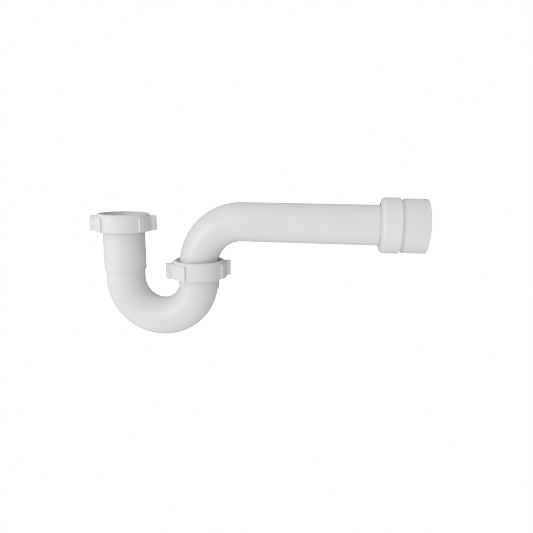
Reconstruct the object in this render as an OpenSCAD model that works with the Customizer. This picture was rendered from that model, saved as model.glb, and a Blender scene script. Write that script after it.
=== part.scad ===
// Tubular P-trap with two winged slip nuts and a smooth compression nut on its drain adapter.
//
// Frame: millimetres, +Z up. The origin is the centre of the drain socket's mouth. +X points out of
// that socket, along the trap arm. The arm turns down through its elbow at -X, and the U-bend hangs
// under it. The whole trap lies in the plane Y = 0 at rest.
//
// Each slip joint is built on its own axis, with z = 0 at the nut's open end and +z towards the tube
// that enters it. Three modules then put it in place: at_drain(), at_swivel() and at_inlet().

/* [Layout] */
// Distance from the drain socket's mouth back to the swivel's vertical axis
arm_reach = 218; // [180:1:300]
// Centre-line radius of the arm's elbow
elbow_r = 44.8; // [44.4:0.2:50]
// Centre-line radius of the U-bend
bend_r = 39; // [39:0.5:46]
// Depth of the U-bend's arc centre below the arm's axis
arc_drop = 60.3; // [60.2:0.1:62]
// Height of the inlet nut's top above the arm's axis
inlet_top = 5.7; // [4:0.1:30]
// Depth of the swivel nut's open end below the arm's axis
swivel_drop = 57.2; // [56.8:0.1:57.4]

/* [Tubes] */
// Outside diameter of the slip tube, nominal 1-1/2 inch tubular
tube_d = 38.1; // [37.9:0.05:38.15]
// Wall of the trap arm
tube_wall = 1.6; // [1.4:0.1:1.8]
// Outside diameter of the U-bend
bend_d = 39.2; // [39:0.1:39.25]
// Wall of the U-bend
bend_wall = 1.7; // [1.5:0.1:1.8]
// Gap between the arm's lower end and the ledge inside the swivel hub
arm_end_gap = 0.5; // [0.2:0.1:1]
// Distance from the arm's outlet end to the drain socket's mouth
arm_setback = 22.5; // [22:0.5:26]

/* [Hubs] */
// Bore of the slip sockets
slip_bore_d = 39; // [38.9:0.1:39.1]
// Outside diameter of the inlet hub
inlet_hub_d = 43; // [42.8:0.1:43.2]
// Outside diameter of the swivel hub's skirt
skirt_d = 42.3; // [42:0.1:43]
// Length of the inlet hub from its lip to the nut's open end
inlet_skirt = 39.5; // [36:0.5:46]
// Depth of the inlet hub's ledge below the nut's open end
inlet_ledge = 29.7; // [20:0.1:32]
// Angle of the bend's arc that the swivel hub's skirt follows
skirt_sweep = 8; // [4:0.5:12]
// Bore of the hub's lower socket, which takes the U-bend
weld_bore_d = 39.3; // [39.3:0.05:39.4]
// Height of the ledge between the two sockets of a hub
ledge_h = 1.6; // [1.2:0.2:2]

/* [Drain adapter] */
// Outside diameter of the drain adapter's hub
drain_hub_d = 51.6; // [51.2:0.1:56]
// Bore of the drain socket, for 48.3 mm drain pipe
drain_bore_d = 48.4; // [48.3:0.1:48.6]
// Depth of the drain socket
drain_depth = 17.5; // [15:0.5:18]
// Length of the drain adapter's hub
drain_hub_l = 21.2; // [20.8:0.1:22]
// Width of the open groove between the hub and the compression nut
groove_w = 3.1; // [2:0.1:4]
// Diameter of the plain neck in the groove
neck_d = 46.8; // [46:0.1:47]
// Rounding of the hub's outer edge, along its axis
drain_round = 2; // [1:0.5:3]
// Rounding of the hub's outer edge, across its wall
drain_round_in = 1.2; // [0.5:0.1:1.4]

/* [Nuts] */
// Height of every nut
nut_h = 18; // [17.8:0.1:18.4]
// Outside diameter of the winged nuts
wing_nut_d = 53; // [52:0.5:56]
// Diameter of the recess in the winged nuts' top
recess_d = 45.2; // [44:0.1:46]
// Depth of that recess
recess_h = 4.5; // [4.5:0.1:4.6]
// Thickness of the web that presses on the friction ring
web_h = 2.5; // [2.4:0.1:2.6]
// Hole in the winged nuts' web
web_hole_d = 40.2; // [40:0.1:41]
// Outside diameter of the compression nut
comp_nut_d = 52.8; // [52:0.2:56]
// Rounding of the compression nut's outer shoulder
comp_round = 4; // [2:0.5:4.5]
// Hole in the compression nut's end
comp_hole_d = 39.6; // [39.4:0.1:40]

/* [Wings] */
// Reach of a wing's lug from the nut's axis
wing_reach = 32.4; // [31:0.1:36]
// Thickness of the lug
wing_t = 7; // [5:0.5:10]
// Outside radius of the pads that carry the lugs
pad_r = 28; // [27.2:0.1:30]
// Half of the angle that a pad covers
pad_half = 48; // [35:0.5:55]
// Height of the pad's lower edge above the nut's open end
pad_low = 0.8; // [0.5:0.1:1.5]
// Distance from the pad's upper edge to the nut's top
pad_drop = 3; // [2.5:0.1:4]
// Turn of the inlet nut's wings about the vertical, from the X axis
inlet_wing_turn = 15; // [-45:0.5:45]
// Turn of the swivel nut's wings about the vertical, from the X axis
swivel_wing_turn = 28.5; // [-45:0.5:45]

/* [Threads] */
// Pitch of every thread, 11.5 turns to the inch
pitch = 2.2; // [2.2:0.01:2.22]
// Width of a thread's base
thread_base = 1.1; // [0.9:0.05:1.1]
// Width of a thread's crest
thread_crest = 0.5; // [0.4:0.05:0.5]
// Depth to which a nut's thread reaches inside the crests of its hub's thread
thread_overlap = 0.8; // [0.6:0.05:0.85]
// Diameter over the slip hubs' threads
slip_thread_d = 45.5; // [45.2:0.1:45.6]
// Bore of the winged nuts between their threads
wing_bore_d = 46.2; // [46.1:0.1:46.4]
// Diameter over the drain adapter's threads
drain_thread_d = 46.6; // [46.4:0.1:46.7]
// Height of the drain adapter's threads
drain_thread_h = 1.1; // [1:0.05:1.1]
// Bore of the compression nut between its threads
comp_bore_d = 47.2; // [47.1:0.1:47.4]

/* [Seals] */
// Outside diameter of the washers and friction rings
seal_d = 43.2; // [42.8:0.1:43.3]
// Bore of a washer that is closed on its tube
washer_bore_d = 38.2; // [38.2:0.02:38.3]
// Bore of the inlet's washer, which is still open
open_washer_bore_d = 38.6; // [38.5:0.05:38.8]
// Thickness of a washer's flange
flange_h = 2; // [1.9:0.05:2.1]
// Depth of a washer's cone
cone_h = 3.1; // [3:0.05:3.2]
// Thickness of a friction ring
ring_h = 1.2; // [1.1:0.05:1.3]
// Bore of a friction ring
ring_bore_d = 39.3; // [39.2:0.1:39.5]

/* [Hidden] */
$fn = 96;

white = "white";
off_white = "gainsboro";
seal_grey = "dimgray";

gap = 0.05;          // axial gap between the stacked pieces of a slip joint
seat_gap = 0.1;      // gap between a washer and the hub that it sits on
edge = 0.6;          // small chamfer of the moulded edges
tip_edge = 0.4;      // chamfer of a hub's tip and of the compression nut's open end
nut_foot = 1;        // chamfer of a winged nut's open end
rim_t = 0.7;         // flat rim around a winged nut's recess
rim_edge = 0.2;      // chamfer of that rim's inner edge
shoulder_edge = 0.5; // step from the top of a wing's pad up to the start of the nut's rounding
wing_root = 1.2;     // thickness of a winged nut's wall inside the roots of its wings
lip_edge = 0.3;      // chamfer of the inlet hub's lip
skirt_root = 2;      // angle by which the skirt's bent part reaches up into its straight part
skirt_step = 0.05;   // difference in radius between the skirt's bent and straight parts
lead_in = 0.8;       // chamfer of the tubes' cut ends
bite = 0.4;          // depth to which a thread's base is sunk in its wall
thread_steps = 36;   // points in one turn of a thread
arc_steps = 8;       // points in a rounded edge
tip_r = 21;          // inner radius of a hub's tip, where the seat's bevel ends
seat_h = 3.6;        // height of that bevel

tube_r = tube_d / 2;
bend_tube_r = bend_d / 2;
slip_bore_r = slip_bore_d / 2;
weld_bore_r = weld_bore_d / 2;
ledge_r = bend_tube_r - bend_wall;
swivel_x = -arm_reach;
inlet_x = swivel_x - 2 * bend_r;
inlet_nut_z = inlet_top - nut_h;
swivel_nut_z = -swivel_drop;
drain_nut_x = -(drain_hub_l + groove_w);
arm_end_x = -arm_setback;
ledge_top = 0.2;     // top of the swivel hub's ledge above its nut's open end
male_start = 1.3;    // height at which a hub's thread starts above the nut's open end
slip_turns = 2.25;   // turns of thread on the slip hubs and in their nuts
drain_turns = 4;     // turns of thread on the drain adapter and in its nut
// A nut's thread runs half a pitch away from its hub's.
female_start = male_start + pitch / 2;

// Heights in a slip joint, above the nut's open end, for a nut with a recess of depth r.
function web_z(r) = nut_h - r - web_h;
function ring_z(r) = web_z(r) - gap - ring_h;
function flange_z(r) = ring_z(r) - gap - flange_h;
function tip_z(r) = flange_z(r) - seat_gap;

// Points of a quarter of an ellipse about c, from angle a0 to a0 + 90.
function quarter(c, rx, ry, a0) =
    [for (i = [0:arc_steps]) let (a = a0 + 90 * i / arc_steps) c + [rx * cos(a), ry * sin(a)]];

// Straight tube or flat ring along +Z from z0 to z1.
module ring(outer_r, inner_r, z0, z1)
    translate([0, 0, z0]) rotate_extrude() translate([inner_r, 0]) square([outer_r - inner_r, z1 - z0]);

// Bent tube: an arc of the given angle about the Z axis, with its centre line at radius sweep_r.
module bent_tube(sweep_r, angle, outer_r, inner_r)
    rotate_extrude(angle = angle) translate([sweep_r, 0]) difference() {
        circle(r = outer_r);
        circle(r = inner_r);
    }

// Right-hand thread ridge about the Z axis. Its base is at base_r and its crest at crest_r, outside
// the base for a screw and inside it for a nut.
module thread(base_r, crest_r, z0, turns) {
    steps = round(turns * thread_steps);
    side = crest_r > base_r ? 1 : -1;
    sunk_r = base_r - side * bite;
    section = [[sunk_r, -side * thread_base / 2], [crest_r, -side * thread_crest / 2],
               [crest_r, side * thread_crest / 2], [sunk_r, side * thread_base / 2]];
    points = [for (i = [0:steps]) let (a = 360 * i / thread_steps)
        for (p = section) [p[0] * cos(a), p[0] * sin(a), z0 + pitch * i / thread_steps + p[1]]];
    walls = [for (i = [0:steps - 1], k = [0:3])
        [4 * i + k, 4 * i + (k + 1) % 4, 4 * (i + 1) + (k + 1) % 4, 4 * (i + 1) + k]];
    polyhedron(points, concat([[3, 2, 1, 0]], walls, [[for (k = [0:3]) 4 * steps + k]]), convexity = 10);
}

// Winged nut's turned body: chamfered foot, rounded shoulder, recess, web and bore.
module wing_nut_body() {
    outer_r = wing_nut_d / 2;
    bore_r = wing_bore_d / 2;
    recess_r = recess_d / 2;
    hole_r = web_hole_d / 2;
    shoulder = pad_drop - shoulder_edge;
    rotate_extrude() polygon(concat(
        [[bore_r, 0], [outer_r - nut_foot, 0], [outer_r, nut_foot]],
        quarter([recess_r + rim_t, nut_h - shoulder], outer_r - recess_r - rim_t, shoulder, 0),
        [[recess_r, nut_h - rim_edge], [recess_r, nut_h - recess_h], [hole_r, nut_h - recess_h],
         [hole_r, web_z(recess_h)], [bore_r, web_z(recess_h)]]));
}

// One wing from the nut's axis out: a pad that hugs the nut, with a lug in its middle.
module wing() {
    wing_h = nut_h - pad_drop - pad_low;
    far = 2 * pad_r;
    translate([0, 0, pad_low]) {
        intersection() {
            cylinder(r = pad_r, h = wing_h);
            linear_extrude(wing_h)
                polygon([[0, 0], far * [cos(pad_half), -sin(pad_half)], far * [cos(pad_half), sin(pad_half)]]);
        }
        translate([0, -wing_t / 2, 0]) cube([wing_reach, wing_t, wing_h]);
    }
}

// Winged nut, with its two wings turned from the X axis.
module wing_nut(turn) {
    bore_r = wing_bore_d / 2;
    wing_nut_body();
    difference() {
        for (side = [0, 180]) rotate([0, 0, turn + side]) wing();
        cylinder(r = bore_r + wing_root, h = nut_h);
    }
    thread(bore_r, slip_thread_d / 2 - thread_overlap, female_start, slip_turns);
}

// Friction ring: a flat ring under the nut's web.
module friction_ring(recess) color(off_white)
    ring(seal_d / 2, ring_bore_d / 2, ring_z(recess), ring_z(recess) + ring_h);

// Bevelled washer: a flange with a cone that wedges between the hub's seat and the tube.
module bevel_washer(recess, bore_d) {
    z0 = flange_z(recess);
    slope = (tip_r - slip_bore_r) / seat_h;
    top_r = tip_r - seat_gap;
    color(seal_grey) rotate_extrude() polygon([
        [bore_d / 2, z0 - cone_h], [top_r - slope * cone_h, z0 - cone_h], [top_r, z0], [seal_d / 2, z0],
        [seal_d / 2, z0 + flange_h - edge], [seal_d / 2 - edge, z0 + flange_h], [bore_d / 2, z0 + flange_h]]);
}

// Slip hub: threaded sleeve with a bevelled seat at its tip, a slip bore, a ledge, and below the
// ledge a socket that takes the bend. body_r is the radius below the thread, foot the lower end.
module slip_hub(body_r, foot, ledge, foot_edge) {
    tip = tip_z(recess_h);
    core_r = inlet_hub_d / 2;
    lip = foot_edge > 0 ? [[body_r - foot_edge, foot], [body_r, foot + foot_edge]] : [[body_r, foot]];
    step = body_r < core_r ? [[body_r, 0], [core_r, 0]] : [];
    rotate_extrude() polygon(concat([[weld_bore_r, foot]], lip, step, [
        [core_r, tip - tip_edge], [core_r - tip_edge, tip], [tip_r, tip], [slip_bore_r, tip - seat_h],
        [slip_bore_r, ledge], [ledge_r, ledge], [ledge_r, ledge - ledge_h], [weld_bore_r, ledge - ledge_h]]));
}

module slip_thread() thread(inlet_hub_d / 2, slip_thread_d / 2, male_start, slip_turns);

module at_drain() translate([drain_nut_x, 0, 0]) rotate([0, -90, 0]) children();
module at_swivel() translate([swivel_x, 0, swivel_nut_z]) children();
module at_inlet() translate([inlet_x, 0, inlet_nut_z]) children();

// Body of revolution with the drain socket, the plain neck and the threaded nose.
module drain_adapter() color(white) at_drain() {
    foot = drain_nut_x;
    hub_r = drain_hub_d / 2;
    core_r = drain_thread_d / 2 - drain_thread_h;
    tip = tip_z(0);
    floor_z = foot + drain_depth;
    hub_top = foot + drain_hub_l;
    rotate_extrude() polygon(concat(
        [[drain_bore_d / 2, foot]],
        quarter([hub_r - drain_round_in, foot + drain_round], drain_round_in, drain_round, -90),
        [[hub_r, hub_top - edge], [hub_r - edge, hub_top], [neck_d / 2, hub_top], [neck_d / 2, 0],
         [core_r, edge], [core_r, tip - tip_edge], [core_r - tip_edge, tip], [tip_r, tip],
         [slip_bore_r, tip - seat_h],
         [slip_bore_r, floor_z], [drain_bore_d / 2, floor_z]]));
    thread(core_r, drain_thread_d / 2, male_start, drain_turns);
}

// Smooth nut with a rounded shoulder, which closes the adapter on the arm.
module compression_nut() color(white) at_drain() {
    outer_r = comp_nut_d / 2;
    bore_r = comp_bore_d / 2;
    rotate_extrude() polygon(concat(
        [[bore_r, tip_edge], [bore_r + tip_edge, 0], [outer_r - edge, 0], [outer_r, edge]],
        quarter([outer_r - comp_round, nut_h - comp_round], comp_round, comp_round, 0),
        [[comp_hole_d / 2, nut_h], [comp_hole_d / 2, web_z(0)], [bore_r, web_z(0)]]));
    thread(bore_r, drain_thread_d / 2 - thread_overlap, female_start, drain_turns);
}

module drain_friction_ring() at_drain() friction_ring(0);

module drain_washer() at_drain() bevel_washer(0, washer_bore_d);

// Trap arm: a tube that runs level from the adapter, turns down through its elbow and drops into
// the swivel hub.
module trap_arm() color(white) {
    inner_r = tube_r - tube_wall;
    elbow_x = swivel_x + elbow_r;
    drop_end = swivel_nut_z + ledge_top + arm_end_gap;
    translate([elbow_x, 0, 0]) rotate([0, 90, 0]) {
        ring(tube_r, inner_r, 0, arm_end_x - elbow_x - lead_in);
        translate([0, 0, arm_end_x - elbow_x - lead_in]) rotate_extrude()
            polygon([[inner_r, 0], [tube_r, 0], [tube_r - lead_in / 2, lead_in], [inner_r, lead_in]]);
    }
    translate([elbow_x, 0, -elbow_r]) rotate([90, 0, 0]) rotate([0, 0, 90])
        bent_tube(elbow_r, 90, tube_r, inner_r);
    translate([swivel_x, 0, 0]) {
        ring(tube_r, inner_r, drop_end + lead_in, -elbow_r);
        translate([0, 0, drop_end]) rotate_extrude()
            polygon([[inner_r, 0], [tube_r - lead_in / 2, 0], [tube_r, lead_in], [inner_r, lead_in]]);
    }
}

module swivel_nut() color(white) at_swivel() wing_nut(swivel_wing_turn);

module swivel_friction_ring() at_swivel() friction_ring(recess_h);

module swivel_washer() at_swivel() bevel_washer(recess_h, washer_bore_d);

// U-bend: half a turn of tube with a straight spigot at each end, welded into the two hubs.
module u_bend() color(white) {
    inner_r = bend_tube_r - bend_wall;
    translate([swivel_x - bend_r, 0, -arc_drop]) rotate([90, 0, 0]) rotate([0, 0, 180])
        bent_tube(bend_r, 180, bend_tube_r, inner_r);
    translate([swivel_x, 0, 0])
        ring(bend_tube_r, inner_r, -arc_drop, swivel_nut_z + ledge_top - ledge_h - gap);
    translate([inlet_x, 0, 0])
        ring(bend_tube_r, inner_r, -arc_drop, inlet_nut_z - inlet_ledge - ledge_h - gap);
}

// Swivel hub: its skirt reaches past the start of the bend's arc, and follows it.
module swivel_hub() color(white) {
    at_swivel() {
        slip_hub(skirt_d / 2, -arc_drop - swivel_nut_z, ledge_top, 0);
        slip_thread();
    }
    translate([swivel_x - bend_r, 0, -arc_drop]) rotate([90, 0, 0]) rotate([0, 0, -skirt_sweep])
        bent_tube(bend_r, skirt_sweep + skirt_root, skirt_d / 2 - skirt_step, weld_bore_r + skirt_step);
}

module inlet_hub() color(white) at_inlet() {
    slip_hub(inlet_hub_d / 2, -inlet_skirt, -inlet_ledge, lip_edge);
    slip_thread();
}

module inlet_nut() color(white) at_inlet() wing_nut(inlet_wing_turn);

module inlet_friction_ring() at_inlet() friction_ring(recess_h);

module inlet_washer() at_inlet() bevel_washer(recess_h, open_washer_bore_d);

drain_adapter();
compression_nut();
drain_friction_ring();
drain_washer();
trap_arm();
swivel_nut();
swivel_friction_ring();
swivel_washer();
u_bend();
swivel_hub();
inlet_hub();
inlet_nut();
inlet_friction_ring();
inlet_washer();
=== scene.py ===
"""Looks of the P-trap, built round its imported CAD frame.

Blender works in metres here: +Z is up, +X runs along the trap arm towards the wall, and the origin
is the centre of the drain socket's mouth. Sizes below are in millimetres, as a plumber names them,
and mm() turns them into metres. Places come from the boxes of the CAD nodes.
"""

import math

import bpy
import bmesh
from mathutils import Matrix, Vector


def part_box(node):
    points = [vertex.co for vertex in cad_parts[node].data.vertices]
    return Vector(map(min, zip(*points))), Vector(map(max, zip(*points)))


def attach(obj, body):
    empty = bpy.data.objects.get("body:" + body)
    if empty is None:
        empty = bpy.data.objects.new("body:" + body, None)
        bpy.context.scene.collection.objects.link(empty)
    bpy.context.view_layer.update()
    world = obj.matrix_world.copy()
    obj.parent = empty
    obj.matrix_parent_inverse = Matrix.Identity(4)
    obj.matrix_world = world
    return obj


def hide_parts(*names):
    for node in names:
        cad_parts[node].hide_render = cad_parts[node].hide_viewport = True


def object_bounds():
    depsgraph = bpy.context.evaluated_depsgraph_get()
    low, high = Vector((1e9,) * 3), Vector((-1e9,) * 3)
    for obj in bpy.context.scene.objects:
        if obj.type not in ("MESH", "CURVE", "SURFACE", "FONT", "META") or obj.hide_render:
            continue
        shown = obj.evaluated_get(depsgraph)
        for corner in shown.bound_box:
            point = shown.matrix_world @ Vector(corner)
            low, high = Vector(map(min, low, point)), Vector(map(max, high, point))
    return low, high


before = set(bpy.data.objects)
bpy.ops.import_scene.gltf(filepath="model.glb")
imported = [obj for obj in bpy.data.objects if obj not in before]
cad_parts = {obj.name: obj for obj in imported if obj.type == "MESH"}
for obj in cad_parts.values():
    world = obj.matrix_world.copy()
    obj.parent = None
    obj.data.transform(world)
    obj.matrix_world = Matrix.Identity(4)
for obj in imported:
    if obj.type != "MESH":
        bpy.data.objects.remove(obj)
cad_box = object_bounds()

PER_METRE = 1000          # millimetres in a metre


def mm(value):
    """Millimetres as metres."""
    return value * 0.001


# ---------------------------------------------------------------------------------------------
# Sizes that the boxes of the nodes don't give, in millimetres unless another unit is named
# ---------------------------------------------------------------------------------------------
# Tubes
ELBOW_R = 44.8            # centre-line radius of the arm's elbow
TUBE_WALL = 1.6           # wall of the trap arm
BEND_WALL = 1.7           # wall of the U-bend
BEND_SKIN = 0.35          # from the U-bend's box in to its outside
END_SKIN = ((0.45, 0), (0.15, 0.18), (0, 0.6))    # eased end: (in from the skin, back from the end)
END_BORE = ((0.1, 0), (0, 0.15))                  # the same inside: (out from the bore, back)
SEAM_H = 0.12             # height of the moulding seam on the U-bend
SEAM_W = 0.35             # half width of that seam
SKIN_TOLERANCE = 0.01     # a ring this close to the U-bend's outside carries the seam

# Hubs
SLIP_BORE_R = 19.5        # bore of the slip sockets
SPIGOT_BORE_R = 19.3      # socket that takes the U-bend's end
LEDGE_R = 17.9            # hole in the ledge between a hub's two sockets
LEDGE_H = 1.6             # height of that ledge
INLET_LEDGE_DROP = 29.7   # from the inlet nut's open end down to the ledge in its hub
SWIVEL_LEDGE_RISE = 0.2   # from the swivel nut's open end up to the ledge in its hub
HUB_R = 20.6              # slip hubs, between their threads
STEP_DROP = 1.4           # from the swivel nut's open end down to the step in its hub
SKIRT_R = 20.3            # swivel hub below that step
SKIRT_SWEEP = 8           # angle of the bend's arc that the skirt follows, in degrees
TIP_R = 20.3              # inner edge of a hub's tip
SEAT_H = 3.6              # height of the bevel inside that tip

# Drain adapter
DRAIN_BORE_R = 24.2       # bore of the drain socket
DRAIN_DEPTH = 17.5        # depth of the drain socket
DRAIN_HUB_R = 25.35       # outside of the adapter's hub
DRAIN_HUB_L = 21.2        # length of the adapter's hub
DRAIN_LIP = 2.0           # rounding round the hub's mouth
NECK_R = 23.8             # plain neck in the groove beside the hub
NECK_SLOPE = 0.6          # length of the slope from that neck down to the thread's core

# Nuts
NUT_H = 18.0              # height of every nut
RECESS_R = 22.6           # recess in a winged nut's top
RECESS_H = 4.5            # depth of that recess
RIM_W = 0.7               # flat rim round the recess
WEB_H = 2.5               # web that presses on the friction ring
WING_HOLE_R = 20.1        # hole in a winged nut's web
WING_BORE_R = 23.1        # bore of a winged nut between its threads
WING_BODY_R = 26.0        # outside of a winged nut
WING_REACH = 32.4         # from the nut's axis to the end of a wing's lug
WING_T = 7.0              # thickness of the lug
PAD_R = 28.0              # outside of the pads that carry the lugs
PAD_HALF = 48             # half of the angle that a pad covers, in degrees
PAD_LOW = 0.8             # lower edge of a pad above the nut's open end
PAD_TOP = 15.5            # upper edge of a pad above the nut's open end
PAD_ROUND = 1.7           # rounding of a pad's upper edge into the shoulder
PAD_MARGIN = 0.1          # a point this close outside the pads still counts as theirs
LUG_ROUND = 0.35          # rounding of the lugs' edges and of the pads' lower edges
SHOULDER_GAP = 0.04       # from the pads' upper edge up to the start of the shoulder
FOOT_BORE = ((0, 0.5), (0.12, 0.2), (0.4, 0))    # eased foot: (out from the bore, above the open end)
FOOT_BODY = ((1.3, 0), (0.85, 0.06), (0.4, 0.26), (0.12, 0.52), (0, 0.74))    # the same, in from the body
INLET_WING_TURN = 15      # turn of the inlet nut's wings from the X axis, in degrees
SWIVEL_WING_TURN = 28.5   # turn of the swivel nut's wings
COMP_HOLE_R = 19.8        # hole in the compression nut's end
COMP_BORE_R = 23.6        # bore of the compression nut between its threads
COMP_R = 26.1             # outside of the compression nut
COMP_FACE_R = 20.6        # flat face round the tube
COMP_SLOPE = 1.7          # height of the slope between that face and the outside
COMP_SHOULDER = 3.2       # rounding of the shoulder where the slope starts

# Threads
PITCH = 2.2               # pitch of every thread
THREAD_OVERLAP = 0.8      # depth to which a nut's thread reaches inside its hub's crests
THREAD_BASE = 1.1         # width of the ridge at its wall
THREAD_CREST = 0.5        # width of the ridge at its crest
THREAD_ROOT = 0.4         # depth to which the ridge is sunk in its wall
CREST_DROP = 0.1          # how far the crest's edges lie below its middle
CREST_OUT = 0.06          # how far they lie outside the crest's width
CREST_IN = 0.08           # how far the crest's flat stops inside that width
MALE_START = 1.3          # where a hub's thread starts above the nut's open end
SLIP_THREAD_R = 22.75     # over the slip hubs' threads
DRAIN_THREAD_R = 23.3     # over the adapter's thread
DRAIN_THREAD_H = 1.1      # height of the adapter's thread over its core
SLIP_TURNS = 2.25         # turns of the threads at the two winged nuts
DRAIN_TURNS = 4           # turns of the threads at the compression nut

# Washers and friction rings
SEAL_R = 21.6             # outside of the washers and friction rings
RING_BORE_R = 19.65       # bore of the friction rings
CLOSED_BORE_R = 19.1      # bore of the washers that are closed on the arm
OPEN_BORE_R = 19.3        # bore of the inlet's washer, which waits for its tailpiece
GAP = 0.05                # gap between the stacked pieces of a slip joint
SEAT_GAP = 0.1            # gap between a washer and the hub that it sits on
RING_H = 1.2              # height of a friction ring
FLANGE_H = 2.0            # height of a washer's flange
CONE_H = 3.1              # height of a washer's bevel

# How finely the pieces are cut
TUBE_COLUMNS = 144        # quads round a tube or a turned piece
BEND_COLUMNS = 180        # quads round the U-bend, which carries the seam
THREAD_STEPS = 72         # steps in one turn of a thread
ARC_STEP = 2.0            # degrees between two rings of a bend
RUN_STEP = 8.0            # distance between two rings of a straight tube
WING_SPLIT = 1.6          # longest stretch of a winged nut's plan
PAD_STEPS = 12            # stretches round half of a pad
BODY_STEPS = 32           # stretches round the body between two pads
EDGE_STEPS = 5            # rings round a wing's upper or lower edge, less one
WALL_STEPS = 7            # stretches up the wings' walls
SHOULDER_STEPS = 10       # stretches over a winged nut's shoulder


# ---------------------------------------------------------------------------------------------
# Places, from the frame
# ---------------------------------------------------------------------------------------------
def middle(node):
    """Middle of a CAD node's box, in millimetres."""
    low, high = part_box(node)
    return (low + high) / 2 * PER_METRE


def low_end(node):
    """Lowest corner of a CAD node's box, in millimetres."""
    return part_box(node)[0] * PER_METRE


def high_end(node):
    """Highest corner of a CAD node's box, in millimetres."""
    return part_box(node)[1] * PER_METRE


inlet_x = middle("inlet_washer").x
swivel_x = middle("swivel_washer").x
inlet_nut_z = low_end("inlet_nut").z
swivel_nut_z = low_end("swivel_nut").z
drain_nut_x = high_end("compression_nut").x
tube_r = high_end("trap_arm").y
arm_end_x = high_end("trap_arm").x
arm_drop_z = low_end("trap_arm").z
bend_tube_r = high_end("u_bend").y - BEND_SKIN
bend_r = (swivel_x - inlet_x) / 2
arc_z = low_end("u_bend").z + bend_r + bend_tube_r
inlet_leg_top = high_end("u_bend").z


# ---------------------------------------------------------------------------------------------
# Mesh helpers
# ---------------------------------------------------------------------------------------------
def rounded(outline, steps=5):
    """Closed outline of (x, y, rounding) corners as points, with an arc at each rounded corner."""
    straight = math.radians(89)     # half of the angle at a corner that is flat enough to stay a point
    share = 0.48                    # part of each side that a rounding may use up
    points = []
    for i, (x, y, radius) in enumerate(outline):
        here = Vector((x, y))
        before = Vector(outline[i - 1][:2]) - here
        after = Vector(outline[(i + 1) % len(outline)][:2]) - here
        half = before.angle(after) / 2
        if radius <= 0 or half > straight:
            points.append(here)
            continue
        reach = min(radius / math.tan(half), share * before.length, share * after.length)
        arc_r = reach * math.tan(half)
        before.normalize()
        after.normalize()
        centre = here + (before + after).normalized() * (arc_r / math.sin(half))
        start = here + before * reach - centre
        end = here + after * reach - centre
        for k in range(steps + 1):
            points.append(centre + start.lerp(end, k / steps).normalized() * arc_r)
    return points


def split_long(points, longest):
    """The same closed outline, with its long stretches cut into equal shorter ones."""
    out = []
    for i, here in enumerate(points):
        after = points[(i + 1) % len(points)]
        parts = max(1, math.ceil((after - here).length / longest))
        out.extend(here.lerp(after, k / parts) for k in range(parts))
    return out


def axis_frame(origin, along, across):
    """Frame of a straight axis: at height s it gives the centre and two directions across it."""
    along = Vector(along)
    across = Vector(across)
    side = along.cross(across)
    origin = Vector(origin)

    def at(s):
        return origin + along * s, across, side
    return at


def add_rings(bm, rings):
    """Closed skin through rings of equal length: each joins the next, and the last the first."""
    loops = [[bm.verts.new(mm(1) * p) for p in ring] for ring in rings]
    count = len(loops[0])
    for i, loop in enumerate(loops):
        after = loops[(i + 1) % len(loops)]
        for k in range(count):
            n = (k + 1) % count
            bm.faces.new((loop[k], loop[n], after[n], after[k]))


def add_thread(bm, at, base_r, crest_r, start, turns):
    """Right-hand thread ridge, sunk into its wall at base_r and fading out at both ends."""
    side = 1 if crest_r > base_r else -1
    root_r = base_r - side * THREAD_ROOT
    half_base = THREAD_BASE / 2
    half_crest = THREAD_CREST / 2
    count = round(turns * THREAD_STEPS)
    fade = THREAD_STEPS / 6         # steps over which the ridge grows and fades, a sixth of a turn
    lowest = 0.05                   # part of the full height that is left at the ridge's two ends
    rings = []
    for i in range(count + 1):
        angle = math.tau * i / THREAD_STEPS
        grown = min(1, i / fade, (count - i) / fade)
        top = base_r + (crest_r - base_r) * (lowest + (1 - lowest) * math.sin(grown * math.pi / 2))
        edge = top - side * CREST_DROP
        z = start + PITCH * i / THREAD_STEPS
        section = [(root_r, -half_base), (edge, -half_crest - CREST_OUT), (top, -half_crest + CREST_IN),
                   (top, half_crest - CREST_IN), (edge, half_crest + CREST_OUT), (root_r, half_base)]
        ring = []
        for r, dz in section:
            centre, across, aside = at(z + dz)
            ring.append(centre + across * (r * math.cos(angle)) + aside * (r * math.sin(angle)))
        rings.append(ring)
    loops = [[bm.verts.new(mm(1) * p) for p in ring] for ring in rings]
    wide = len(loops[0])
    for a, b in zip(loops, loops[1:]):
        for k in range(wide):
            n = (k + 1) % wide
            bm.faces.new((a[k], a[n], b[n], b[k]))
    bm.faces.new(loops[0])
    bm.faces.new(reversed(loops[-1]))


def turned_rings(profile, at, columns=TUBE_COLUMNS, bump=None):
    """Rings of a turned or swept piece: profile holds (radius, s) points, at(s) gives the frame."""
    rings = []
    for r, s in profile:
        centre, across, aside = at(s)
        ring = []
        for k in range(columns):
            angle = math.tau * k / columns
            out = r + (bump(angle, r) if bump else 0)
            ring.append(centre + across * (out * math.cos(angle)) + aside * (out * math.sin(angle)))
        rings.append(ring)
    return rings


def finished(name, bm, body, cad_node, material):
    """Makes the piece: outward faces, smooth shading, its material, its body and its CAD node."""
    bmesh.ops.recalc_face_normals(bm, faces=bm.faces)
    mesh = bpy.data.meshes.new(name)
    bm.to_mesh(mesh)
    bm.free()
    mesh.polygons.foreach_set("use_smooth", [True] * len(mesh.polygons))
    mesh.materials.append(material)
    piece = bpy.data.objects.new(name, mesh)
    bpy.context.scene.collection.objects.link(piece)
    shading = piece.modifiers.new("face weights", "WEIGHTED_NORMAL")
    shading.weight = 100
    shading.keep_sharp = True
    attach(piece, body)
    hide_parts(cad_node)


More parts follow.
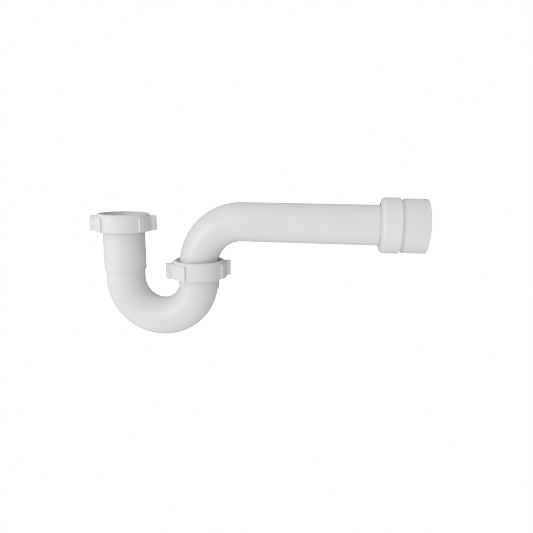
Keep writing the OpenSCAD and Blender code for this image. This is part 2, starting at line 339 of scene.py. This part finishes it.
# ---------------------------------------------------------------------------------------------
# Materials
# ---------------------------------------------------------------------------------------------
def moulded(name, light, shade, roughness, grain=0.05, ripple=0.04):
    """Moulded plastic or rubber: two close tones in soft clouds, uneven gloss, and a fine grain."""
    material = bpy.data.materials.new(name)
    material.use_nodes = True
    tree = material.node_tree
    tree.nodes.clear()

    def node(kind, **values):
        made = tree.nodes.new(kind)
        for key, value in values.items():
            made.inputs[key].default_value = value
        return made

    def link(source, output, target, socket):
        tree.links.new(source.outputs[output], target.inputs[socket])

    where = node("ShaderNodeTexCoord")
    clouds = node("ShaderNodeTexNoise", Scale=38.0, Detail=3.0, Roughness=0.55)
    specks = node("ShaderNodeTexNoise", Scale=2600.0, Detail=2.0, Roughness=0.6)
    ripples = node("ShaderNodeTexNoise", Scale=420.0, Detail=2.0, Roughness=0.5)
    tone = node("ShaderNodeValToRGB")
    tone.color_ramp.elements[0].position = 0.30
    tone.color_ramp.elements[0].color = (*shade, 1)
    tone.color_ramp.elements[1].position = 0.72
    tone.color_ramp.elements[1].color = (*light, 1)
    gloss = node("ShaderNodeMapRange")
    gloss.inputs["From Min"].default_value = 0.3
    gloss.inputs["From Max"].default_value = 0.7
    gloss.inputs["To Min"].default_value = roughness - 0.04
    gloss.inputs["To Max"].default_value = roughness + 0.05
    coarse = node("ShaderNodeBump", Strength=ripple, Distance=mm(0.25))
    fine = node("ShaderNodeBump", Strength=grain, Distance=mm(0.05))
    shader = node("ShaderNodeBsdfPrincipled")
    shader.inputs["IOR"].default_value = 1.5
    out = node("ShaderNodeOutputMaterial")
    for texture in (clouds, specks, ripples):
        link(where, "Object", texture, "Vector")
    link(clouds, "Fac", tone, "Fac")
    link(tone, "Color", shader, "Base Color")
    link(ripples, "Fac", gloss, "Value")
    link(gloss, "Result", shader, "Roughness")
    link(ripples, "Fac", coarse, "Height")
    link(specks, "Fac", fine, "Height")
    link(coarse, "Normal", fine, "Normal")
    link(fine, "Normal", shader, "Normal")
    link(shader, "BSDF", out, "Surface")
    return material


tube_white = moulded("tube_white", (0.785, 0.785, 0.786), (0.755, 0.755, 0.756), 0.36)
nut_white = moulded("nut_white", (0.803, 0.803, 0.803), (0.772, 0.772, 0.772), 0.40)
warm_white = moulded("warm_white", (0.787, 0.786, 0.772), (0.756, 0.755, 0.741), 0.42)
ring_white = moulded("ring_white", (0.700, 0.700, 0.680), (0.640, 0.640, 0.620), 0.50)
washer_grey = moulded("washer_grey", (0.085, 0.085, 0.090), (0.055, 0.055, 0.060), 0.62, grain=0.2)


# ---------------------------------------------------------------------------------------------
# Frames of the three slip joints, with s = 0 at the nut's open end. Profiles along them are closed
# outlines of (radius, s, rounding) corners.
# ---------------------------------------------------------------------------------------------
at_inlet = axis_frame((inlet_x, 0, inlet_nut_z), (0, 0, 1), (1, 0, 0))
at_swivel = axis_frame((swivel_x, 0, swivel_nut_z), (0, 0, 1), (1, 0, 0))
at_drain = axis_frame((drain_nut_x, 0, 0), (-1, 0, 0), (0, 0, 1))


def web_s(recess):
    """Inner face of the nut's web, for a nut whose recess is this deep."""
    return NUT_H - recess - WEB_H


def ring_s(recess):
    """Friction ring's lower face."""
    return web_s(recess) - GAP - RING_H


def flange_s(recess):
    """Washer's flange, at its lower face."""
    return ring_s(recess) - GAP - FLANGE_H


def tip_s(recess):
    """Hub's tip, which the washer sits on."""
    return flange_s(recess) - SEAT_GAP


# ---------------------------------------------------------------------------------------------
# Seals
# ---------------------------------------------------------------------------------------------
def friction_ring(name, body, at, recess):
    """Thin flat ring that keeps the turning nut from dragging on the washer."""
    s = ring_s(recess)
    profile = rounded([(RING_BORE_R, s, 0.2), (SEAL_R, s, 0.25), (SEAL_R, s + RING_H, 0.25),
                       (RING_BORE_R, s + RING_H, 0.2)], steps=4)
    bm = bmesh.new()
    add_rings(bm, turned_rings(profile, at))
    finished(name, bm, body, body, ring_white)


def bevel_washer(name, body, at, recess, bore_r, cad_node):
    """Rubber washer: a flange, and a bevel that fits the seat inside the hub's tip."""
    s = flange_s(recess)
    slope = (TIP_R - SLIP_BORE_R) / SEAT_H
    top_r = TIP_R - SEAT_GAP
    low_r = top_r - slope * CONE_H
    profile = rounded([(bore_r, s - CONE_H, 0.12), (low_r, s - CONE_H, 0.15), (top_r, s, 0.1),
                       (SEAL_R, s, 0.3), (SEAL_R, s + FLANGE_H, 0.6),
                       (bore_r, s + FLANGE_H, 0.3)], steps=4)
    bm = bmesh.new()
    add_rings(bm, turned_rings(profile, at))
    finished(name, bm, body, cad_node, washer_grey)


friction_ring("inlet_slip_ring", "inlet_friction_ring", at_inlet, RECESS_H)
friction_ring("swivel_slip_ring", "swivel_friction_ring", at_swivel, RECESS_H)
friction_ring("drain_slip_ring", "drain_friction_ring", at_drain, 0)
bevel_washer("inlet_bevel_washer", "j_bend", at_inlet, RECESS_H, OPEN_BORE_R, "inlet_washer")
bevel_washer("swivel_bevel_washer", "swivel_washer", at_swivel, RECESS_H, CLOSED_BORE_R, "swivel_washer")
bevel_washer("drain_bevel_washer", "drain_washer", at_drain, 0, CLOSED_BORE_R, "drain_washer")


# ---------------------------------------------------------------------------------------------
# Nuts
# ---------------------------------------------------------------------------------------------
def wing_corners():
    """Plan of one wing that points along +X, as (x, y, rounding) corners in turning order."""
    half = math.radians(PAD_HALF)
    root = math.asin(WING_T / 2 / PAD_R)
    across_pad = [root + (half - root) * k / PAD_STEPS for k in range(1, PAD_STEPS)]
    upper = [(WING_REACH, WING_T / 2, 0.35), (PAD_R * math.cos(root), WING_T / 2, 0.4)]
    upper += [(PAD_R * math.cos(a), PAD_R * math.sin(a), 0) for a in across_pad]
    upper += [(PAD_R * math.cos(half), PAD_R * math.sin(half), 0.6),
              (WING_BODY_R * math.cos(half), WING_BODY_R * math.sin(half), 0.3)]
    lower = [(x, -y, rounding) for x, y, rounding in reversed(upper)]
    return lower + upper


def wing_plan(turn):
    """Closed plan of the nut through both wings, turned by the given angle."""
    start = math.radians(PAD_HALF)
    span = math.pi - 2 * start
    between_pads = [start + span * k / BODY_STEPS for k in range(1, BODY_STEPS)]
    half_plan = wing_corners()
    half_plan += [(WING_BODY_R * math.cos(a), WING_BODY_R * math.sin(a), 0) for a in between_pads]
    plan = half_plan + [(-x, -y, rounding) for x, y, rounding in half_plan]
    spin = Matrix.Rotation(math.radians(turn), 2)
    return [spin @ p for p in split_long(rounded(plan), WING_SPLIT)]


def wing_nut(name, body, at, turn, material):
    """Winged slip nut: body, two wings with soft edges, recessed top, web and inner thread."""
    plan = wing_plan(turn)
    flats = [p.normalized() for p in plan]
    rim_r = RECESS_R + RIM_W
    web = web_s(RECESS_H)
    floor = NUT_H - RECESS_H

    def round_ring(r, s):
        centre, across, aside = at(s)
        return [centre + across * (r * d.x) + aside * (r * d.y) for d in flats]

    def wing_ring(edge_s, way=0, turned=math.pi / 2):
        """Ring on the wings' outline. Way is 1 for an upper edge and -1 for a lower one.

        Turned is how far the ring has come round the edge: 0 on the flat face, and a right angle on
        the upright wall.
        """
        ring = []
        for p, d in zip(plan, flats):
            soft = PAD_ROUND if way > 0 and p.length < PAD_R + PAD_MARGIN else LUG_ROUND
            r = max(min(p.length, WING_BODY_R), p.length - soft * (1 - math.sin(turned)))
            centre, across, aside = at(edge_s - way * soft * (1 - math.cos(turned)))
            ring.append(centre + across * (r * d.x) + aside * (r * d.y))
        return ring

    rings = [round_ring(WING_BORE_R + out, s) for out, s in FOOT_BORE]
    rings.extend(round_ring(WING_BODY_R - inset, s) for inset, s in FOOT_BODY)
    edge_turns = [math.pi / 2 * k / EDGE_STEPS for k in range(EDGE_STEPS + 1)]
    rings.extend(wing_ring(PAD_LOW, -1, turned) for turned in edge_turns)
    rings.extend(wing_ring(PAD_LOW + (PAD_TOP - PAD_LOW) * k / WALL_STEPS) for k in range(1, WALL_STEPS))
    rings.extend(wing_ring(PAD_TOP, 1, turned) for turned in reversed(edge_turns))
    shoulder_base = PAD_TOP + SHOULDER_GAP
    for k in range(SHOULDER_STEPS + 1):
        angle = math.pi / 2 * k / SHOULDER_STEPS
        rings.append(round_ring(rim_r + (WING_BODY_R - rim_r) * math.cos(angle),
                                shoulder_base + (NUT_H - shoulder_base) * math.sin(angle)))
    # The closing corners only make the outline whole: the rings above already cover that side.
    bore_foot = FOOT_BORE[0][1]
    closing = [(WING_BORE_R, bore_foot, 0), (rim_r, bore_foot, 0), (rim_r, NUT_H, 0)]
    inside = rounded([(RECESS_R, NUT_H, 0.25), (RECESS_R, floor, 0.5), (WING_HOLE_R, floor, 0.4),
                      (WING_HOLE_R, web, 0.3), (WING_BORE_R, web, 0.3), *closing], steps=4)
    rings.extend(round_ring(p.x, p.y) for p in inside[:-len(closing)])
    bm = bmesh.new()
    add_rings(bm, rings)
    add_thread(bm, at, WING_BORE_R, SLIP_THREAD_R - THREAD_OVERLAP, MALE_START + PITCH / 2, SLIP_TURNS)
    finished(name, bm, body, body, material)


wing_nut("inlet_wing_nut", "inlet_nut", at_inlet, INLET_WING_TURN, nut_white)
wing_nut("swivel_wing_nut", "swivel_nut", at_swivel, SWIVEL_WING_TURN, warm_white)


def compression_nut():
    """Smooth nut whose end slopes in from a rounded shoulder to a flat face round the tube."""
    web = web_s(0)
    profile = rounded([(COMP_BORE_R, 0, 0.4), (COMP_R, 0, 0.5),
                       (COMP_R, NUT_H - COMP_SLOPE, COMP_SHOULDER), (COMP_FACE_R, NUT_H, 1.0),
                       (COMP_HOLE_R, NUT_H, 0.3), (COMP_HOLE_R, web, 0.3),
                       (COMP_BORE_R, web, 0.4)], steps=8)
    bm = bmesh.new()
    add_rings(bm, turned_rings(profile, at_drain))
    crest_r = DRAIN_THREAD_R - THREAD_OVERLAP
    add_thread(bm, at_drain, COMP_BORE_R, crest_r, MALE_START + PITCH / 2, DRAIN_TURNS)
    body = "compression_nut"
    finished("smooth_compression_nut", bm, body, body, nut_white)


compression_nut()


# ---------------------------------------------------------------------------------------------
# Hubs and tubes
# ---------------------------------------------------------------------------------------------
def drain_adapter():
    """Adapter at the wall: socket, open groove, and threaded nose under the compression nut."""
    foot = drain_nut_x
    hub_top = foot + DRAIN_HUB_L
    socket_floor = foot + DRAIN_DEPTH
    tip = tip_s(0)
    core_r = DRAIN_THREAD_R - DRAIN_THREAD_H
    profile = rounded([(DRAIN_BORE_R, foot, 0.3), (DRAIN_HUB_R, foot, DRAIN_LIP),
                       (DRAIN_HUB_R, hub_top, 0.5), (NECK_R, hub_top, 0.5), (NECK_R, 0, 0.2),
                       (core_r, NECK_SLOPE, 0.2), (core_r, tip, 0.35), (TIP_R, tip, 0.2),
                       (SLIP_BORE_R, tip - SEAT_H, 0.6), (SLIP_BORE_R, socket_floor, 0.4),
                       (DRAIN_BORE_R, socket_floor, 0.5)], steps=6)
    bm = bmesh.new()
    add_rings(bm, turned_rings(profile, at_drain))
    add_thread(bm, at_drain, core_r, DRAIN_THREAD_R, MALE_START, DRAIN_TURNS)
    body = "drain_adapter"
    finished("drain_adapter_body", bm, body, body, tube_white)


drain_adapter()


def trap_path(s):
    """Frame along the U-bend: s = 0 where the arc meets the swivel's leg, and s grows upwards there."""
    arc_length = math.pi * bend_r
    aside = Vector((0, 1, 0))
    if s >= 0:
        return Vector((swivel_x, 0, arc_z + s)), Vector((1, 0, 0)), aside
    if s <= -arc_length:
        return Vector((inlet_x, 0, arc_z - s - arc_length)), Vector((-1, 0, 0)), aside
    angle = -s / bend_r
    out = Vector((math.cos(angle), 0, -math.sin(angle)))
    return Vector((swivel_x - bend_r, 0, arc_z)) + out * bend_r, out, aside


def arm_path(s):
    """Frame along the trap arm: s = 0 where the elbow meets the level run, and s grows to +X."""
    arc_length = math.pi / 2 * ELBOW_R
    aside = Vector((0, 1, 0))
    elbow_x = swivel_x + ELBOW_R
    if s >= 0:
        return Vector((elbow_x + s, 0, 0)), Vector((0, 0, 1)), aside
    if s <= -arc_length:
        return Vector((swivel_x, 0, -ELBOW_R + s + arc_length)), Vector((-1, 0, 0)), aside
    angle = -s / ELBOW_R
    out = Vector((-math.sin(angle), 0, math.cos(angle)))
    return Vector((elbow_x, 0, -ELBOW_R)) + out * ELBOW_R, out, aside


def along(start, end, arc_start, arc_end, arc_r):
    """Places of the rings from start to end: close together on the arc, wider on the straights."""
    fine = math.radians(ARC_STEP) * arc_r
    places = []
    stretches = ((start, arc_start, RUN_STEP), (arc_start, arc_end, fine), (arc_end, end, RUN_STEP))
    for a, b, step in stretches:
        parts = max(1, math.ceil(abs(b - a) / step))
        places.extend(a + (b - a) * k / parts for k in range(parts))
    return places + [end]


def pipe_profile(places, outer_r, inner_r):
    """Closed (radius, s) profile of a pipe: outer skin there, inner skin back, with eased ends."""
    first, last = places[0], places[-1]
    way = 1 if last > first else -1
    between = places[1:-1]
    outer = [(outer_r - inset, first + way * back) for inset, back in END_SKIN]
    outer += [(outer_r, s) for s in between]
    outer += [(outer_r - inset, last - way * back) for inset, back in reversed(END_SKIN)]
    inner = [(inner_r + out, last - way * back) for out, back in END_BORE]
    inner += [(inner_r, s) for s in reversed(between)]
    inner += [(inner_r + out, first + way * back) for out, back in reversed(END_BORE)]
    return outer + inner


def parting_line(angle, r):
    """Height of the hair-thin moulding seam along the outer and inner curve of the U-bend."""
    if r < bend_tube_r - SKIN_TOLERANCE:
        return 0
    off_seam = abs((angle + math.pi / 2) % math.pi - math.pi / 2) * r
    return SEAM_H * math.exp(-((off_seam / SEAM_W) ** 2))


def u_bend():
    """Half turn of tube with two short legs, whose ends stop just under the ledges in the hubs."""
    arc_length = math.pi * bend_r
    swivel_top = swivel_nut_z + SWIVEL_LEDGE_RISE - LEDGE_H - GAP - arc_z
    inlet_top = -arc_length - (inlet_leg_top - arc_z)
    places = along(swivel_top, inlet_top, 0, -arc_length, bend_r)
    profile = pipe_profile(places, bend_tube_r, bend_tube_r - BEND_WALL)
    bm = bmesh.new()
    add_rings(bm, turned_rings(profile, trap_path, BEND_COLUMNS, parting_line))
    finished("u_bend_tube", bm, "j_bend", "u_bend", tube_white)


def trap_arm():
    """One bent tube: a level run, an elbow and a short drop into the swivel hub."""
    arc_length = math.pi / 2 * ELBOW_R
    run_end = arm_end_x - swivel_x - ELBOW_R
    drop_end = -arc_length - (-ELBOW_R - arm_drop_z)
    places = along(run_end, drop_end, 0, -arc_length, ELBOW_R)
    profile = pipe_profile(places, tube_r, tube_r - TUBE_WALL)
    bm = bmesh.new()
    add_rings(bm, turned_rings(profile, arm_path))
    finished("trap_arm_tube", bm, "trap_arm", "trap_arm", tube_white)


def inlet_hub():
    """Long sleeve with its thread, seated over the U-bend's end with a visible lip."""
    tip = tip_s(RECESS_H)
    foot = low_end("inlet_hub").z - inlet_nut_z
    ledge = -INLET_LEDGE_DROP
    profile = rounded([(SPIGOT_BORE_R, foot, 0.15), (HUB_R, foot, 0.45), (HUB_R, tip, 0.3),
                       (TIP_R, tip, 0.1), (SLIP_BORE_R, tip - SEAT_H, 0.6), (SLIP_BORE_R, ledge, 0.4),
                       (LEDGE_R, ledge, 0.3), (LEDGE_R, ledge - LEDGE_H, 0.3),
                       (SPIGOT_BORE_R, ledge - LEDGE_H, 0.3)], steps=5)
    bm = bmesh.new()
    add_rings(bm, turned_rings(profile, at_inlet))
    add_thread(bm, at_inlet, HUB_R, SLIP_THREAD_R, MALE_START, SLIP_TURNS)
    finished("inlet_hub_sleeve", bm, "j_bend", "inlet_hub", tube_white)


def swivel_hub():
    """Short threaded hub whose skirt follows the start of the U-bend's arc."""
    lift = swivel_nut_z - arc_z
    tip = lift + tip_s(RECESS_H)
    ledge = lift + SWIVEL_LEDGE_RISE
    step = lift - STEP_DROP
    foot = -math.radians(SKIRT_SWEEP) * bend_r
    profile = rounded([(SPIGOT_BORE_R, foot, 0.15), (SKIRT_R, foot, 0.4), (SKIRT_R, foot / 2, 0),
                       (SKIRT_R, 0, 0), (SKIRT_R, step, 0.1), (HUB_R, step, 0.15), (HUB_R, tip, 0.3),
                       (TIP_R, tip, 0.1), (SLIP_BORE_R, tip - SEAT_H, 0.6), (SLIP_BORE_R, ledge, 0.3),
                       (LEDGE_R, ledge, 0.3), (LEDGE_R, ledge - LEDGE_H, 0.3),
                       (SPIGOT_BORE_R, ledge - LEDGE_H, 0.3), (SPIGOT_BORE_R, 0, 0),
                       (SPIGOT_BORE_R, foot / 2, 0)], steps=5)
    bm = bmesh.new()
    add_rings(bm, turned_rings(profile, trap_path))
    add_thread(bm, at_swivel, HUB_R, SLIP_THREAD_R, MALE_START, SLIP_TURNS)
    finished("swivel_hub_skirt", bm, "j_bend", "swivel_hub", tube_white)


u_bend()
trap_arm()
inlet_hub()
swivel_hub()


# ---------------------------------------------------------------------------------------------
# Floor, light and camera
# ---------------------------------------------------------------------------------------------
# Surroundings on each side of the trap: the direction that they lie in, and their strength
LIGHT_FROM = {
    "back": ((0, 1, 0), 0.40),
    "left": ((-1, 0, 0), 0.80),
    "above": ((0, 0, 1), 0.82),
    "below": ((0, 0, -1), 0.59),
    "front_above": ((0, -1, 1), 0.45),
    "front_below": ((0, -1, -1), 0.77),
    "front_right": ((1, -1, 0), 0.53),
    "right_below": ((1, 0, -1), 0.19),
}
# The softboxes and the floor, in metres and watts
KEY_PLACE = (-1.3, -1.4, 0.3)           # softbox at the front left
KEY_SIZE = (0.9, 0.9)
KEY_POWER = 8.8
SIDE_PLACE = (-1.9, -0.35, -0.05)       # softbox at the far left
SIDE_SIZE = (1.2, 1.2)
SIDE_POWER = 1.7
SOFTBOX_AIM = (-0.16, 0.0, -0.03)       # near the trap's middle
SOFTBOX_TINT = (0.975, 0.975, 1.0)
FLOOR_HALF = 6.0                        # half of the floor's side
FLOOR_DROP = 0.016                      # from the trap's lowest point down to the floor
# The camera, in millimetres and degrees
CAMERA_PLACE = (-91.8, -435.5, 45.9)
CAMERA_YAW = 7.484                      # from +Y towards -X
CAMERA_PITCH = 11.542                   # downwards
CAMERA_ROLL = 0.68
CAMERA_LENS = 30.51
CAMERA_SENSOR = 36
PIXEL_FILTER = 1.0                      # width in pixels, for crisp edges


def stage():
    """Plain white floor under the trap. Only the camera sees it, so it throws no shade."""
    material = bpy.data.materials.new("floor_white")
    material.use_nodes = True
    tree = material.node_tree
    tree.nodes.clear()
    glow = tree.nodes.new("ShaderNodeEmission")
    glow.inputs["Color"].default_value = (1, 1, 1, 1)
    glow.inputs["Strength"].default_value = 1.0
    out = tree.nodes.new("ShaderNodeOutputMaterial")
    tree.links.new(glow.outputs["Emission"], out.inputs["Surface"])
    bm = bmesh.new()
    bmesh.ops.create_grid(bm, x_segments=4, y_segments=4, size=FLOOR_HALF)
    mesh = bpy.data.meshes.new("floor")
    bm.to_mesh(mesh)
    bm.free()
    mesh.materials.append(material)
    floor = bpy.data.objects.new("floor", mesh)
    floor.location = (mm(middle("trap_arm").x), 0, cad_box[0].z - FLOOR_DROP)
    bpy.context.scene.collection.objects.link(floor)
    floor.visible_diffuse = False
    floor.visible_glossy = False
    floor.visible_shadow = False


def studio():
    """White surroundings for the camera, and grey ones, of a strength for each side, for the trap."""
    world = bpy.data.worlds.new("studio")
    bpy.context.scene.world = world
    world.use_nodes = True
    tree = world.node_tree
    tree.nodes.clear()

    def maths(operation, first, second):
        made = tree.nodes.new("ShaderNodeMath")
        made.operation = operation
        for socket, value in enumerate((first, second)):
            if isinstance(value, (int, float)):
                made.inputs[socket].default_value = value
            else:
                tree.links.new(value, made.inputs[socket])
        return made.outputs["Value"]

    def share(direction):
        """Square of the cosine of the angle to a direction, and none on its far side."""
        facing = tree.nodes.new("ShaderNodeVectorMath")
        facing.operation = "DOT_PRODUCT"
        tree.links.new(where.outputs["Generated"], facing.inputs[0])
        facing.inputs[1].default_value = Vector(direction).normalized()
        return maths("POWER", maths("MAXIMUM", facing.outputs["Value"], 0), 2)

    where = tree.nodes.new("ShaderNodeTexCoord")
    total = 0
    for direction, strength in LIGHT_FROM.values():
        total = maths("ADD", maths("MULTIPLY", share(direction), strength), total)
    lighting = tree.nodes.new("ShaderNodeBackground")
    tree.links.new(total, lighting.inputs["Strength"])
    seen = tree.nodes.new("ShaderNodeBackground")
    seen.inputs["Color"].default_value = (1, 1, 1, 1)
    ray = tree.nodes.new("ShaderNodeLightPath")
    mix = tree.nodes.new("ShaderNodeMixShader")
    out = tree.nodes.new("ShaderNodeOutputWorld")
    tree.links.new(ray.outputs["Is Camera Ray"], mix.inputs["Fac"])
    tree.links.new(lighting.outputs["Background"], mix.inputs[1])
    tree.links.new(seen.outputs["Background"], mix.inputs[2])
    tree.links.new(mix.outputs["Shader"], out.inputs["Surface"])


def softbox(name, place, size, power):
    """Square area light that faces the trap."""
    light = bpy.data.lights.new(name, "AREA")
    light.shape = "RECTANGLE"
    light.size, light.size_y = size
    light.energy = power
    light.color = SOFTBOX_TINT
    lamp = bpy.data.objects.new(name, light)
    lamp.location = place
    lamp.rotation_mode = "QUATERNION"
    lamp.rotation_quaternion = (Vector(SOFTBOX_AIM) - Vector(place)).to_track_quat("-Z", "Y")
    bpy.context.scene.collection.objects.link(lamp)


def camera():
    """Camera at the place that the photograph was taken from, as solved from the tubes' outlines."""
    yaw, pitch, roll = (math.radians(a) for a in (CAMERA_YAW, CAMERA_PITCH, CAMERA_ROLL))
    ahead = Vector((-math.sin(yaw) * math.cos(pitch), math.cos(yaw) * math.cos(pitch), -math.sin(pitch)))
    right = Vector((math.cos(yaw), math.sin(yaw), 0))
    up = right.cross(ahead)
    rolled_right = right * math.cos(roll) + up * math.sin(roll)
    rolled_up = up * math.cos(roll) - right * math.sin(roll)
    data = bpy.data.cameras.new("camera")
    data.sensor_width = CAMERA_SENSOR
    data.lens = CAMERA_LENS
    data.clip_start = 0.01
    data.clip_end = 50
    cam = bpy.data.objects.new("camera", data)
    cam.matrix_world = Matrix((
        (*rolled_right, 0), (*rolled_up, 0), (*(-ahead), 0), (0, 0, 0, 1))).transposed()
    cam.location = mm(Vector(CAMERA_PLACE))
    bpy.context.scene.collection.objects.link(cam)
    bpy.context.scene.camera = cam


stage()
studio()
softbox("key", KEY_PLACE, KEY_SIZE, KEY_POWER)
softbox("side", SIDE_PLACE, SIDE_SIZE, SIDE_POWER)
camera()
bpy.context.scene.view_settings.view_transform = "Standard"
bpy.context.scene.view_settings.look = "None"
bpy.context.scene.cycles.filter_width = PIXEL_FILTER
